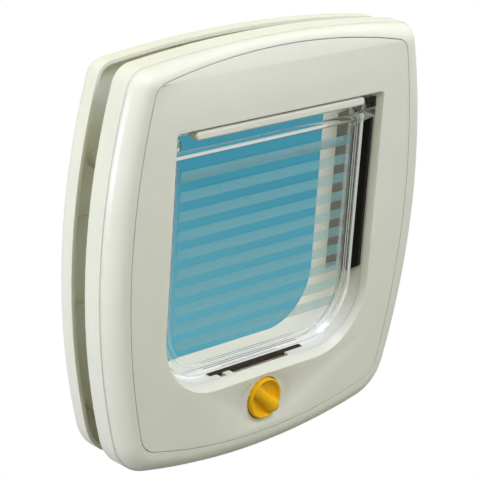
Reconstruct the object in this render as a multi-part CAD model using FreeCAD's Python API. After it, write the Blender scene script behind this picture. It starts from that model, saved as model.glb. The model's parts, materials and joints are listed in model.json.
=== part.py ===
import FreeCAD, Part
import math
import os

# A cat flap for a door: an inside frame and an outside frame clamp the door between them, a clear
# flap hangs in the passage from two stub pins, and a rotary lock under the sill lifts two cams
# beside the flap. Millimetres. X is to the right seen from the room, Y points outdoors, Z is up.
# The origin is the middle of the inside frame's door-side face.

Vector = FreeCAD.Vector

# Passage through both frames, which everything else is laid out round
PASSAGE_HALF_WIDTH = 72.4
PASSAGE_TOP = 74.2
PASSAGE_BOTTOM = 64.25
PASSAGE_TOP_R = 2.5
PASSAGE_BOTTOM_R = 32.0

# Rotary lock under the sill
LOCK_DROP = 18.6
CAM_R = 26.0
CAM_HUB_R = 6.4
CAM_THICK = 2.0
CAM_SPAN = 150.0
CAM_START = 142.0
CAM_STEP = 90.0
CAM_RUN_GAP = 0.6
CAM_SLOT_GAP = 0.5
KNOB_R = 11.3
KNOB_DISC = 4.0
KNOB_PROUD = 1.0
KNOB_RIM = 0.7
KNOB_DISH = 2.4
KNOB_GAP = 0.6
GRIP_HALF_LENGTH = 10.9
GRIP_THICK = 7.4
GRIP_TAIL_RISE = 0.3
GRIP_NOSE_RISE = 2.6
GRIP_EASE = 1.2
GRIP_TURN = 42.0
DIMPLE_X = 20.0
DIMPLE_Z = 14.6
DIMPLE_DEPTH = 1.2
DIMPLE_SLOPE = 2.4
COLLAR_R = 4.1
TURN_GAP = 0.2
SQUARE = 6.0
SQUARE_FIT = 0.05
JOURNAL_R = 2.5
JOURNAL_FIT = 0.05
NOTCH_OUT = 7.0
NOTCH_WIDTH = 4.0
BARREL_R = 5.0
BARREL_FLAT = 0.4
LEAF_THICK = 0.4
LEAF_WIDTH = 4.0
LEAF_LENGTH = 25.0
LEAF_GAP = 0.05
POST_X = 10.5
POST_THICK = 3.0
LOCK_SCREW_HEAD_R = 3.6
LOCK_SCREW_HEAD = 0.8
LOCK_SCREW_R = 1.2
LOCK_SCREW_LENGTH = 8.0

# Borders of both frames round the passage and the lock; their sides are bowed
SIDE_BORDER = 40.1
TOP_BORDER = 39.2
CAM_BORDER = 4.55
WIDEST_Z = 10.5
SIDE_BOW_R = 346.0
TOP_BOW_R = 743.0
BOTTOM_BOW_R = 380.0
TOP_CORNER_R = 12.0
BOTTOM_CORNER_R = 28.0

# Depths: the front frame's from its door-side face, then the door and the outside frame
FACE_DEPTH = 18.4
RIM_DEPTH = 8.0
DOOR_GAP = 12.4
OUTER_DEPTH = 10.9
BACK_PLATE = 2.0
WALL = 2.2
RIM_STEP = 0.6
FRONT_ROUND = 9.6
REAR_ROUND = 5.0
INNER_EASE = 0.65
OUTER_INSET = 1.9

# Cover panel: the rim left round it, its own bowed sides, and the sloping band above its crease
COVER_SIDE_MARGIN = 13.3
COVER_TOP_MARGIN = 4.9
COVER_BOTTOM_MARGIN = 11.5
COVER_SIDE_BOW_R = 372.0
COVER_TOP_BOW_R = 455.0
COVER_BOTTOM_BOW_R = 310.0
COVER_TOP_CORNER_R = 9.0
COVER_BOTTOM_CORNER_R = 13.0
COVER_GAP = 0.45
CREASE_MARGIN = 13.4
CREASE_DEGREES = 18.3
LEDGE_WIDTH = 3.0
LEDGE_WALL = 1.6
HOOK_WIDTH = 6.0
HOOK_NIB = 0.8
HOOK_GAP = 0.4
SIDE_HOOK_IN = 19.25
BOTTOM_HOOK_IN = 24.4
SPIGOT_REACH = 1.6
SPIGOT_ROOT = 2.2
SPIGOT_INSET = 3.6
SPIGOT_WALL = 1.6
SPIGOT_GAP = 0.15

# Bevel and lip that lead from the face into the passage, and the tunnel, sleeve and liner behind them
BEVEL_SIDE = 1.5
BEVEL_BOTTOM = 4.4
BEVEL_CORNER = 5.0
LIP_DEPTH = 4.0
LIP_WALL = 2.0
LIP_GAP = 0.2
TUNNEL_REAR_Y = 1.0
TUNNEL_WALL = 2.0
SLEEVE_GAP = 0.3
SLEEVE_REAR_Y = 9.0
SLEEVE_FIT = 0.1
FLANGE_RISE = 0.8
FLANGE_THICK = 1.6
LINER_FRONT_Y = 3.1
RAIN_SLOPE = 2.9
RIB_WALL = 1.6
INNER_RIBS_Z = (20.0, -25.0)
OUTER_RIBS_Z = (25.0, -20.0)
OUTER_RIBS_X = (-40.0, 40.0)

# Flap
FLAP_Y = -7.5
HINGE_DROP = 9.0
FLAP_SIDE_GAP = 3.0
FLAP_BOTTOM_GAP = 1.5
PANE = 2.4
BEAD_RISE = 0.7
EDGE_BEAD = 3.0
INNER_BEAD = 2.0
INNER_BEAD_INSET = 4.4
INNER_BEAD_DROP = 4.6
RIDGE_DROP = 6.65
RIDGE_R = 2.3
FLAP_ABOVE_HINGE = 4.0
FLAP_TOP_R = 3.0
EAR_R = 4.3
EAR_REACH = 5.4
EAR_ROOT = 5.0
POCKET_GAP = 0.9
PIN_R = 1.5
PIN_FIT = 0.05
PIN_INSIDE = 7.0
PIN_OUTSIDE = 3.2
STRIPES = 10
STRIPE_DROP = 15.0
STRIPE_PITCH = 10.35
STRIPE_CLOSING = 0.075
STRIPE_HEIGHT = 5.35
STRIPE_FILM = 0.12
STRIPE_END_GAP = 2.0

# Pile weather strips, in shallow grooves
PILE_GROOVE = 1.0
PILE_TOP_GAP = 15.2
SIDE_PILE_RISE = 1.8
SIDE_PILE_LEAD = 5.9
SIDE_PILE_WIDTH = 9.0
SIDE_PILE_END_GAP = 7.5
SIDE_PILE_SLANT = 6.0
SILL_PILE_RISE = 0.45
SILL_PILE_GROOVE = 1.6
SILL_PILE_LEAD = 3.0
SILL_PILE_WIDTH = 5.3
SILL_PILE_END_GAP = 6.4
REAR_PILE_RISE = 0.9
REAR_PILE_Y = 5.2
REAR_PILE_WIDTH = 6.6
REAR_PILE_END_GAP = 2.25
REAR_PILE_SLANT = 4.0

# Hinge blocks and the bar that keeps the pins in their open seats
BLOCK_END_WALL = 1.1
BLOCK_BEHIND_BAR = 0.9
BLOCK_BELOW = 8.2
BLOCK_ABOVE = 9.4
BAR_SETBACK = 0.8
BAR_THICK = 2.0
BAR_RISE = 8.0
BAR_END = 2.5
BAR_LIP_SETBACK = 0.8
BAR_LIP_IN = 12.2
BAR_LIP_GAP = 1.5
BAR_LIP_HEIGHT = 4.6
BAR_LIP_R = 2.2
BAR_LIP_EASE = 0.9
BAR_GAP = 0.3
FINGER_WIDTH = 2.4
FINGER_REACH = 1.3
BAR_SCREW_X = 45.0

# Long screws through the door and their pillars, and the bar's small screws
UPPER_SCREW_OUT = 18.6
UPPER_SCREW_IN = 19.2
LOWER_SCREW_OUT = 13.6
LOWER_SCREW_DROP = 11.75
SCREW_R = 1.9
SCREW_HEAD_R = 3.6
SCREW_HEAD = 2.4
BOSS_R = 5.2
BOSS_HEIGHT = 4.6
PILLAR_R = 4.6
PILLAR_GAP = 0.7
SMALL_SCREW_R = 1.1
SMALL_HEAD_R = 2.2
SMALL_HEAD = 1.2
SMALL_SCREW_LENGTH = 7.0
SMALL_BOSS_R = 3.0

# Sizes that follow from the ones above
SILL_Z = -PASSAGE_BOTTOM
LOCK_Z = SILL_Z - LOCK_DROP
HINGE_Z = PASSAGE_TOP - HINGE_DROP
HALF_WIDTH = PASSAGE_HALF_WIDTH + SIDE_BORDER
FRAME_TOP = PASSAGE_TOP + TOP_BORDER
FRAME_BOTTOM = PASSAGE_BOTTOM + LOCK_DROP + CAM_R + CAM_BORDER
COVER_HALF_WIDTH = HALF_WIDTH - COVER_SIDE_MARGIN
COVER_TOP = FRAME_TOP - COVER_TOP_MARGIN
COVER_BOTTOM = FRAME_BOTTOM - COVER_BOTTOM_MARGIN
CREASE_Z = FRAME_TOP - CREASE_MARGIN
DOOR_FACE_Y = 0.0
FACE_Y = -FACE_DEPTH
SEAM_Y = FACE_Y + RIM_DEPTH
LIP_END_Y = FACE_Y + LIP_DEPTH
PLATE_FRONT_Y = -BACK_PLATE
TUNNEL_FRONT_Y = LIP_END_Y + LIP_GAP
SLEEVE_IN = TUNNEL_WALL + SLEEVE_GAP
SLEEVE_OUT = SLEEVE_IN + TUNNEL_WALL
FLANGE_OUT = SLEEVE_OUT + FLANGE_RISE
SLEEVE_FRONT_Y = PLATE_FRONT_Y - FLANGE_THICK
TUNNEL_FLANGE_Y = SLEEVE_FRONT_Y - FLANGE_THICK
OUTER_LIP_Y = DOOR_GAP
REAR_Y = DOOR_GAP + OUTER_DEPTH
FLAP_HALF_WIDTH = PASSAGE_HALF_WIDTH - FLAP_SIDE_GAP
FLAP_BOTTOM = PASSAGE_BOTTOM - FLAP_BOTTOM_GAP
FLAP_BOTTOM_R = PASSAGE_BOTTOM_R - FLAP_BOTTOM_GAP
FLAP_TOP = HINGE_Z + FLAP_ABOVE_HINGE
RIDGE_Z = HINGE_Z - RIDGE_DROP
PANE_FRONT_Y = FLAP_Y - PANE / 2
BEAD_FRONT_Y = PANE_FRONT_Y - BEAD_RISE
BEAD_DEPTH = PANE + 2 * BEAD_RISE
STRIPE_INSET = INNER_BEAD_INSET + INNER_BEAD + STRIPE_END_GAP
EAR_END_X = PASSAGE_HALF_WIDTH + EAR_REACH
POCKET_R = EAR_R + POCKET_GAP
POCKET_END_X = EAR_END_X + POCKET_GAP
PIN_END_X = POCKET_END_X + PIN_OUTSIDE
BLOCK_END_X = PIN_END_X + BLOCK_END_WALL
BAR_FRONT_Y = TUNNEL_FRONT_Y + BAR_SETBACK
BAR_REAR_Y = BAR_FRONT_Y + BAR_THICK
BAR_LIP_FRONT_Y = FACE_Y + BAR_LIP_SETBACK
BAR_LIP_HALF_LENGTH = PASSAGE_HALF_WIDTH - BAR_LIP_IN
BAR_LIP_TOP = PASSAGE_TOP - BAR_LIP_GAP
BAR_LOW = PASSAGE_TOP + TUNNEL_WALL + BAR_GAP
BAR_TOP = BAR_LOW + BAR_RISE
BAR_SCREW_Z = BAR_LOW + BAR_RISE / 2
FINGER_X = POCKET_END_X + PIN_OUTSIDE / 2
BLOCK_FRONT_Y = BAR_FRONT_Y + BLOCK_BEHIND_BAR
SILL_PILE_FRONT_Y = FLAP_Y - SILL_PILE_LEAD
SILL_PILE_REAR_Y = SILL_PILE_FRONT_Y + SILL_PILE_WIDTH
SILL_PILE_HALF_LENGTH = PASSAGE_HALF_WIDTH - PASSAGE_BOTTOM_R - SILL_PILE_END_GAP
FRONT_CAM_Y = SILL_PILE_FRONT_Y - CAM_RUN_GAP - CAM_THICK
REAR_CAM_Y = SILL_PILE_REAR_Y + CAM_RUN_GAP
LEAF_Y = (FRONT_CAM_Y + CAM_THICK + REAR_CAM_Y) / 2
LEAF_Z = LOCK_Z + BARREL_R + LEAF_GAP
CAM_SLOT_LEVEL = LOCK_DROP - TUNNEL_WALL
CAM_SLOT_HALF_LENGTH = math.sqrt(CAM_R * CAM_R - CAM_SLOT_LEVEL * CAM_SLOT_LEVEL) + CAM_SLOT_GAP
NOTCH_X = -CAM_SLOT_HALF_LENGTH - NOTCH_OUT
KNOB_FRONT_Y = FACE_Y - KNOB_PROUD
KNOB_BACK_Y = KNOB_FRONT_Y + KNOB_DISC
COLLAR_REAR_Y = FRONT_CAM_Y
BOSS_FRONT_Y = DOOR_FACE_Y - BOSS_HEIGHT
UPPER_SCREW = (PASSAGE_HALF_WIDTH + UPPER_SCREW_OUT, PASSAGE_TOP - UPPER_SCREW_IN)
LOWER_SCREW = (PASSAGE_HALF_WIDTH + LOWER_SCREW_OUT, SILL_Z - LOWER_SCREW_DROP)
SCREWS = [(side * x, z) for x, z in (UPPER_SCREW, LOWER_SCREW) for side in (1, -1)]
BAR_SCREWS_X = (-BAR_SCREW_X, BAR_SCREW_X)
FAR = 200.0


def barrel_wire(y, grow, half_width, top, bottom, side_r, top_r, bottom_r, corner_top, corner_bottom):
    """Closed wire of four bowed sides and four corner arcs in the plane at y, grown outwards by grow."""
    side_centre = (half_width - side_r, WIDEST_Z)
    top_centre = (0.0, top - top_r)
    bottom_centre = (0.0, bottom_r - bottom)
    side_reach = side_r + grow

    def corner(end_centre, end_reach, radius, upward):
        """Corner arc that touches the side arc and an end arc: its start, middle and end point."""
        a = side_reach - radius
        b = end_reach - radius
        dx = end_centre[0] - side_centre[0]
        dz = end_centre[1] - side_centre[1]
        apart = math.hypot(dx, dz)
        along = (a * a - b * b + apart * apart) / (2 * apart)
        off = math.sqrt(a * a - along * along) * upward
        cx = side_centre[0] + (dx * along - dz * off) / apart
        cz = side_centre[1] + (dz * along + dx * off) / apart
        points = []
        for centre, reach in ((side_centre, side_reach), (end_centre, end_reach)):
            angle = math.atan2(cz - centre[1], cx - centre[0])
            points.append((centre[0] + reach * math.cos(angle), centre[1] + reach * math.sin(angle)))
        middle = math.atan2((points[0][1] + points[1][1]) / 2 - cz, (points[0][0] + points[1][0]) / 2 - cx)
        return points[0], (cx + radius * math.cos(middle), cz + radius * math.sin(middle)), points[1]

    def flip(arc):
        """The arc's three points on the other side, from its end to its start."""
        return tuple((-x, z) for x, z in reversed(arc))

    upper = corner(top_centre, top_r + grow, corner_top + grow, 1)
    lower = corner(bottom_centre, bottom_r + grow, corner_bottom + grow, -1)
    side = (lower[0], (half_width + grow, WIDEST_Z), upper[0])
    crown = (upper[2], (0.0, top + grow), flip(upper)[0])
    foot = (flip(lower)[0], (0.0, -bottom - grow), lower[2])
    arcs = [side, upper, crown, flip(upper), flip(side), lower, foot, flip(lower)]
    edges = [Part.Arc(*[Vector(x, y, z) for x, z in arc]).toShape() for arc in arcs]
    return Part.Wire(Part.__sortEdges__(edges))


def frame_wire(y, grow):
    """Outline shared by the two frames."""
    return barrel_wire(y, grow, HALF_WIDTH, FRAME_TOP, FRAME_BOTTOM, SIDE_BOW_R, TOP_BOW_R, BOTTOM_BOW_R,
                       TOP_CORNER_R, BOTTOM_CORNER_R)


def cover_wire(y, grow):
    """Outline of the opening in the front rim that the cover panel fills."""
    return barrel_wire(y, grow, COVER_HALF_WIDTH, COVER_TOP, COVER_BOTTOM, COVER_SIDE_BOW_R, COVER_TOP_BOW_R,
                       COVER_BOTTOM_BOW_R, COVER_TOP_CORNER_R, COVER_BOTTOM_CORNER_R)


def arch_wire(y, half_width, top, bottom, top_r, bottom_r):
    """Upright rectangle with small upper and large lower corner arcs, in the plane at y."""
    edges = []
    for side in (1, -1):
        for level, radius, up in ((top, top_r, 1), (-bottom, bottom_r, -1)):
            cx = side * (half_width - radius)
            cz = level - up * radius
            slant = radius * math.sqrt(0.5)
            arc = Part.Arc(Vector(cx + side * radius, y, cz), Vector(cx + side * slant, y, cz + up * slant),
                           Vector(cx, y, level))
            edges.append(arc.toShape())
        edges.append(Part.LineSegment(Vector(side * half_width, y, top - top_r),
                                      Vector(side * half_width, y, bottom_r - bottom)).toShape())
    for level, radius in ((top, top_r), (-bottom, bottom_r)):
        edges.append(Part.LineSegment(Vector(radius - half_width, y, level),
                                      Vector(half_width - radius, y, level)).toShape())
    return Part.Wire(Part.__sortEdges__(edges))


def passage_wire(y, grow=0.0, drop=0.0):
    """Section of the passage, grown outwards by grow, with its sill lowered by drop."""
    return arch_wire(y, PASSAGE_HALF_WIDTH + grow, PASSAGE_TOP + grow, PASSAGE_BOTTOM + grow + drop,
                     PASSAGE_TOP_R + grow, PASSAGE_BOTTOM_R + grow)


def bevel_wire(y, grow=0.0):
    """Mouth of the window's bevel, grown outwards by grow."""
    return arch_wire(y, PASSAGE_HALF_WIDTH + BEVEL_SIDE + grow, PASSAGE_TOP + grow,
                     PASSAGE_BOTTOM + BEVEL_BOTTOM + grow, PASSAGE_TOP_R + grow,
                     PASSAGE_BOTTOM_R + BEVEL_CORNER + grow)


def flap_wire(y, grow=0.0, top=FLAP_TOP, top_r=FLAP_TOP_R):
    """Outline of the flap, grown outwards by grow, up to a given height."""
    return arch_wire(y, FLAP_HALF_WIDTH + grow, top, FLAP_BOTTOM + grow, top_r, FLAP_BOTTOM_R + grow)


def slab(wire, depth):
    """Solid that the wire sweeps along Y by depth."""
    return Part.Face(wire).extrude(Vector(0, depth, 0))


def ring(outer, inner, depth):
    """Ring between two wires in one plane, swept along Y by depth."""
    return slab(outer, depth).cut(slab(inner, depth))


def box(x0, x1, y0, y1, z0, z1):
    """Box between two corners."""
    return Part.makeBox(x1 - x0, y1 - y0, z1 - z0, Vector(x0, y0, z0))


def rod(radius, y0, y1, x=0.0, z=0.0):
    """Cylinder along Y."""
    return Part.makeCylinder(radius, y1 - y0, Vector(x, y0, z), Vector(0, 1, 0))


def cross_rod(radius, x0, x1, y, z):
    """Cylinder along X."""
    return Part.makeCylinder(radius, x1 - x0, Vector(x0, y, z), Vector(1, 0, 0))


def prism(points, x0, x1):
    """Solid between two planes across X, from the (y, z) corners of its section."""
    corners = [Vector(x0, y, z) for y, z in points]
    return Part.Face(Part.makePolygon(corners + corners[:1])).extrude(Vector(x1 - x0, 0, 0))


def mirrored(shape):
    """The same shape on the other side of the middle plane."""
    return shape.mirror(Vector(0, 0, 0), Vector(1, 0, 0))


def both_sides(shape):
    """A shape and its mirror image, as a list."""
    return [shape, mirrored(shape)]


def fused(shapes):
    """One clean solid from touching shapes."""
    return shapes[0].fuse(shapes[1:]).removeSplitter()


def edges_at(shape, y):
    """Edges that lie in the plane at y."""
    return [e for e in shape.Edges if abs(e.BoundBox.YMin - y) < 0.001 and abs(e.BoundBox.YMax - y) < 0.001]


def front_block(inset):
    """The front form of the inside frame, inset evenly: rounded outside and eased inside, with its slope."""
    front = FACE_Y + inset
    block = slab(frame_wire(DOOR_FACE_Y, -RIM_STEP - inset), front)
    if inset > 0:
        block = block.makeChamfer(INNER_EASE * (FRONT_ROUND - inset), edges_at(block, front))
    else:
        block = block.makeFillet(FRONT_ROUND, edges_at(block, front))
    crease = CREASE_Z - inset * math.tan(math.radians(CREASE_DEGREES / 2))
    back = front + math.tan(math.radians(CREASE_DEGREES)) * (FAR - crease)
    return block.cut(prism([(front, crease), (back, FAR), (-FAR, FAR), (-FAR, crease)], -FAR, FAR))


def front_skin(inset, thickness):
    """A layer of the front form, between two depths under its surface, forward of the side seam."""
    skin = front_block(inset).cut(front_block(inset + thickness))
    return skin.common(box(-FAR, FAR, -FAR, SEAM_Y, -FAR, FAR))


def make_inner_rim():
    """Front rim: the rounded border shell with a ledge under the cover panel's edge."""
    shell = front_skin(0.0, WALL).cut(slab(cover_wire(-FAR, 0.0), FAR))
    ledge = front_skin(WALL, LEDGE_WALL)
    ledge = ledge.common(ring(cover_wire(-FAR, LEDGE_WALL), cover_wire(-FAR, -LEDGE_WIDTH), FAR))
    return fused([shell, ledge])


def cover_hook(centre, bow_r, angle):
    """Snap hook behind the cover that grips under the rim's ledge, at an angle round a bowed side's centre."""
    reach = bow_r - LEDGE_WIDTH - HOOK_GAP
    root = FACE_Y + WALL
    nib_y = root + LEDGE_WALL + HOOK_GAP
    stem = box(-LEDGE_WALL, 0, root - WALL / 2, nib_y + LEDGE_WALL, -HOOK_WIDTH / 2, HOOK_WIDTH / 2)
    nib = box(-LEDGE_WALL, HOOK_NIB, nib_y, nib_y + LEDGE_WALL, -HOOK_WIDTH / 2, HOOK_WIDTH / 2)
    hook = stem.fuse(nib)
    hook.translate(Vector(reach, 0, 0))
    hook.rotate(Vector(0, 0, 0), Vector(0, 1, 0), -angle)
    hook.translate(Vector(centre[0], 0, centre[1]))
    return hook


def cover_hooks():
    """Two hooks on each side of the cover and two below."""
    side_centre = (COVER_HALF_WIDTH - COVER_SIDE_BOW_R, WIDEST_Z)
    bottom_centre = (0.0, COVER_BOTTOM_BOW_R - COVER_BOTTOM)
    hooks = []
    for z in (PASSAGE_TOP - SIDE_HOOK_IN, SILL_Z + SIDE_HOOK_IN):
        angle = math.degrees(math.asin((z - WIDEST_Z) / COVER_SIDE_BOW_R))
        hooks += both_sides(cover_hook(side_centre, COVER_SIDE_BOW_R, angle))
    lean = math.degrees(math.asin((PASSAGE_HALF_WIDTH - BOTTOM_HOOK_IN) / COVER_BOTTOM_BOW_R))
    straight_down = math.degrees(-math.pi / 2)
    return hooks + both_sides(cover_hook(bottom_centre, COVER_BOTTOM_BOW_R, straight_down + lean))


def knob_dimple():
    """Shallow oval dish round the knob, as a solid to cut."""
    wires = []
    for inset, y in ((0.0, FACE_Y), (DIMPLE_SLOPE, FACE_Y + DIMPLE_DEPTH)):
        wire = Part.Wire(Part.Ellipse(Vector(0, 0, 0), DIMPLE_X - inset, DIMPLE_Z - inset).toShape())
        wire.rotate(Vector(0, 0, 0), Vector(1, 0, 0), 90)
        wire.translate(Vector(0, y, LOCK_Z))
        wires.append(wire)
    return Part.makeLoft(wires, True, True)


def make_inner_cover():
    """Cover panel: bevelled window with its lip, crease, knob dimple and snap hooks."""
    panel = front_skin(0.0, WALL).common(slab(cover_wire(-FAR, -COVER_GAP), FAR))
    lip = Part.makeLoft([bevel_wire(FACE_Y + WALL / 2, LIP_WALL), passage_wire(LIP_END_Y, LIP_WALL)], True, True)
    bevel = Part.makeLoft([bevel_wire(FACE_Y), passage_wire(LIP_END_Y)], True, True)
    knob_hole = rod(KNOB_R + KNOB_GAP, -FAR, DOOR_FACE_Y, 0, LOCK_Z)
    return fused([panel, lip] + cover_hooks()).cut([bevel, knob_dimple(), knob_hole])


def hinge_block():
    """Right-hand hinge block, solid, before its pocket and pin seat are cut."""
    return box(PASSAGE_HALF_WIDTH + TUNNEL_WALL / 2, BLOCK_END_X, BLOCK_FRONT_Y, SLEEVE_FRONT_Y,
               HINGE_Z - BLOCK_BELOW, HINGE_Z + BLOCK_ABOVE)


def hinge_cuts():
    """Right-hand pocket for the flap's ear and, beyond it, the pin's seat; both are open to the front."""
    pocket_x = PASSAGE_HALF_WIDTH - TUNNEL_WALL
    front = TUNNEL_FRONT_Y - TUNNEL_WALL
    pocket = [cross_rod(POCKET_R, pocket_x, POCKET_END_X, FLAP_Y, HINGE_Z),
              box(pocket_x, POCKET_END_X, front, FLAP_Y, HINGE_Z - POCKET_R, HINGE_Z + POCKET_R)]
    seat_r = PIN_R + PIN_FIT
    seat_x = POCKET_END_X - PIN_FIT
    seat_end_x = PIN_END_X + POCKET_GAP
    seat = [cross_rod(seat_r, seat_x, seat_end_x, FLAP_Y, HINGE_Z),
            box(seat_x, seat_end_x, front, FLAP_Y, HINGE_Z - seat_r, HINGE_Z + seat_r)]
    return pocket + seat


def side_pile(rise, front_y, width, end_gap, slant):
    """Right-hand upright pile strip with slanted ends, between the passage's top and its round corner."""
    top = PASSAGE_TOP - PILE_TOP_GAP
    bottom = SILL_Z + PASSAGE_BOTTOM_R + end_gap
    rear_y = front_y + width
    section = [(front_y, top), (rear_y, top - slant), (rear_y, bottom - slant), (front_y, bottom)]
    return prism(section, PASSAGE_HALF_WIDTH - rise, PASSAGE_HALF_WIDTH + PILE_GROOVE)


def front_side_pile():
    """Right-hand black strip beside the flap's edge."""
    return side_pile(SIDE_PILE_RISE, FLAP_Y - SIDE_PILE_LEAD, SIDE_PILE_WIDTH, SIDE_PILE_END_GAP, SIDE_PILE_SLANT)


def rear_side_pile():
    """Right-hand grey strip in the outside frame's liner."""
    return side_pile(REAR_PILE_RISE, REAR_PILE_Y, REAR_PILE_WIDTH, REAR_PILE_END_GAP, REAR_PILE_SLANT)


def make_sill_pile():
    """Dark strip across the sill, under the flap's lower edge."""
    return box(-SILL_PILE_HALF_LENGTH, SILL_PILE_HALF_LENGTH, SILL_PILE_FRONT_Y, SILL_PILE_REAR_Y,
               SILL_Z - SILL_PILE_GROOVE, SILL_Z + SILL_PILE_RISE)


def sill_slots():
    """Slots in the sill for the two cams, and the small notch beside the front one."""
    low = SILL_Z - 2 * TUNNEL_WALL
    high = SILL_Z + TUNNEL_WALL
    front = TUNNEL_FRONT_Y - TUNNEL_WALL
    rear_slot_y = REAR_CAM_Y + CAM_THICK + CAM_SLOT_GAP
    return [box(-CAM_SLOT_HALF_LENGTH, CAM_SLOT_HALF_LENGTH, front, SILL_PILE_FRONT_Y, low, high),
            box(-CAM_SLOT_HALF_LENGTH, CAM_SLOT_HALF_LENGTH, SILL_PILE_REAR_Y, rear_slot_y, low, high),
            box(NOTCH_X - NOTCH_WIDTH / 2, NOTCH_X + NOTCH_WIDTH / 2, front, SILL_PILE_FRONT_Y, low, high)]


def rear_cam_room():
    """Room for the rear cam through the flanges of the tunnel and the sleeve, as a solid to cut."""
    return rod(CAM_R + CAM_SLOT_GAP, TUNNEL_FLANGE_Y, PLATE_FRONT_Y, 0, LOCK_Z)


def leaf_posts():
    """Two posts under the sill that hold the ends of the detent leaf."""
    top = SILL_Z - TUNNEL_WALL / 2
    low = LEAF_Z - POST_THICK / 2
    half = LEAF_WIDTH / 2 + LEAF_THICK
    post = box(POST_X - POST_THICK / 2, POST_X + POST_THICK / 2, LEAF_Y - half, LEAF_Y + half, low, top)
    slot = box(0, FAR, LEAF_Y - LEAF_WIDTH / 2 - LEAF_GAP, LEAF_Y + LEAF_WIDTH / 2 + LEAF_GAP,
               LEAF_Z - LEAF_GAP, LEAF_Z + LEAF_THICK + LEAF_GAP)
    return both_sides(post.cut(slot))


def make_detent_leaf():
    """Flat spring whose ends sit in the two posts; the lock's barrel clicks against it."""
    return box(-LEAF_LENGTH / 2, LEAF_LENGTH / 2, LEAF_Y - LEAF_WIDTH / 2, LEAF_Y + LEAF_WIDTH / 2,
               LEAF_Z, LEAF_Z + LEAF_THICK)


def side_ribs(levels, inset, y0, y1):
    """Stiffening ribs at these heights, from an inset round the passage out to the side walls."""
    ribs = []
    for z in levels:
        ribs += both_sides(box(PASSAGE_HALF_WIDTH + inset, HALF_WIDTH - 3 * WALL, y0, y1, z, z + RIB_WALL))
    return ribs


def inner_spigot():
    """Wall on the base that the front rim slips over, clear of the ledge and the front cam, and its root."""
    outer = -SPIGOT_INSET
    inner = outer - SPIGOT_WALL
    wall = ring(frame_wire(SEAM_Y - SPIGOT_REACH, outer), frame_wire(SEAM_Y - SPIGOT_REACH, inner),
                SPIGOT_REACH + SPIGOT_ROOT)
    wall = wall.cut(slab(cover_wire(-FAR, LEDGE_WALL + SPIGOT_GAP), FAR + SEAM_Y))
    wall = wall.cut(rod(CAM_R + CAM_SLOT_GAP, -FAR, SEAM_Y, 0, LOCK_Z))
    root = ring(frame_wire(SEAM_Y, -WALL / 2), frame_wire(SEAM_Y, inner), SPIGOT_ROOT)
    return [wall, root]


def make_inner_base():
    """Inside frame's base: side wall, back plate with the sleeve's opening, screw bosses and ribs."""
    tray = slab(frame_wire(SEAM_Y, 0.0), -SEAM_Y)
    tray = tray.cut(slab(frame_wire(SEAM_Y, -WALL), PLATE_FRONT_Y - SEAM_Y))
    root_y = PLATE_FRONT_Y / 2
    bosses = [rod(BOSS_R, BOSS_FRONT_Y, root_y, x, z) for x, z in SCREWS]
    ribs = side_ribs(INNER_RIBS_Z, FLANGE_OUT + TUNNEL_WALL, PLATE_FRONT_Y - WALL, root_y)
    body = fused([tray] + inner_spigot() + bosses + ribs)
    cuts = [slab(passage_wire(SEAM_Y, SLEEVE_OUT + SLEEVE_FIT), FAR)]
    cuts += [rod(SCREW_R + TURN_GAP, -FAR, FAR, x, z) for x, z in SCREWS]
    cuts.append(rod(JOURNAL_R + JOURNAL_FIT, -FAR, FAR, 0, LOCK_Z))
    cuts.append(rod(LOCK_SCREW_HEAD_R + TURN_GAP, root_y, FAR, 0, LOCK_Z))
    return body.cut(cuts).removeSplitter()


def make_door_sleeve():
    """Sleeve through the door's cut-out, held by its flange on the front of the back plate."""
    pockets = hinge_cuts() + [mirrored(cut) for cut in hinge_cuts()]
    tube = slab(passage_wire(SLEEVE_FRONT_Y, SLEEVE_OUT), SLEEVE_REAR_Y - SLEEVE_FRONT_Y)
    flange = slab(passage_wire(SLEEVE_FRONT_Y, FLANGE_OUT), FLANGE_THICK)
    bore = slab(passage_wire(SLEEVE_FRONT_Y, SLEEVE_IN), FAR)
    return tube.fuse(flange).cut([bore, rear_cam_room()] + pockets).removeSplitter()


def make_inner_tunnel():
    """Passage moulding: tube with a flange on the sleeve's, hinge blocks, bar bosses and leaf posts."""
    tube = slab(passage_wire(TUNNEL_FRONT_Y, TUNNEL_WALL), TUNNEL_REAR_Y - TUNNEL_FRONT_Y)
    flange = slab(passage_wire(TUNNEL_FLANGE_Y, FLANGE_OUT), FLANGE_THICK)
    bosses = [rod(SMALL_BOSS_R, BAR_REAR_Y, SLEEVE_FRONT_Y, x, BAR_SCREW_Z) for x in BAR_SCREWS_X]
    body = fused([tube, flange] + both_sides(hinge_block()) + bosses + leaf_posts())
    lip_end = BAR_LIP_HALF_LENGTH + BAR_GAP
    cuts = [slab(passage_wire(TUNNEL_FRONT_Y - WALL), FAR), make_sill_pile(), rear_cam_room()]
    cuts += hinge_cuts() + [mirrored(cut) for cut in hinge_cuts()]
    cuts += both_sides(front_side_pile()) + sill_slots()
    cuts.append(box(-lip_end, lip_end, TUNNEL_FRONT_Y - WALL, BAR_REAR_Y + BAR_GAP, PASSAGE_TOP - WALL, BAR_LOW))
    screw_end_y = BAR_FRONT_Y + SMALL_SCREW_LENGTH + WALL / 2
    cuts += [rod(SMALL_SCREW_R, -FAR, screw_end_y, x, BAR_SCREW_Z) for x in BAR_SCREWS_X]
    return body.cut(cuts).removeSplitter()


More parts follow.
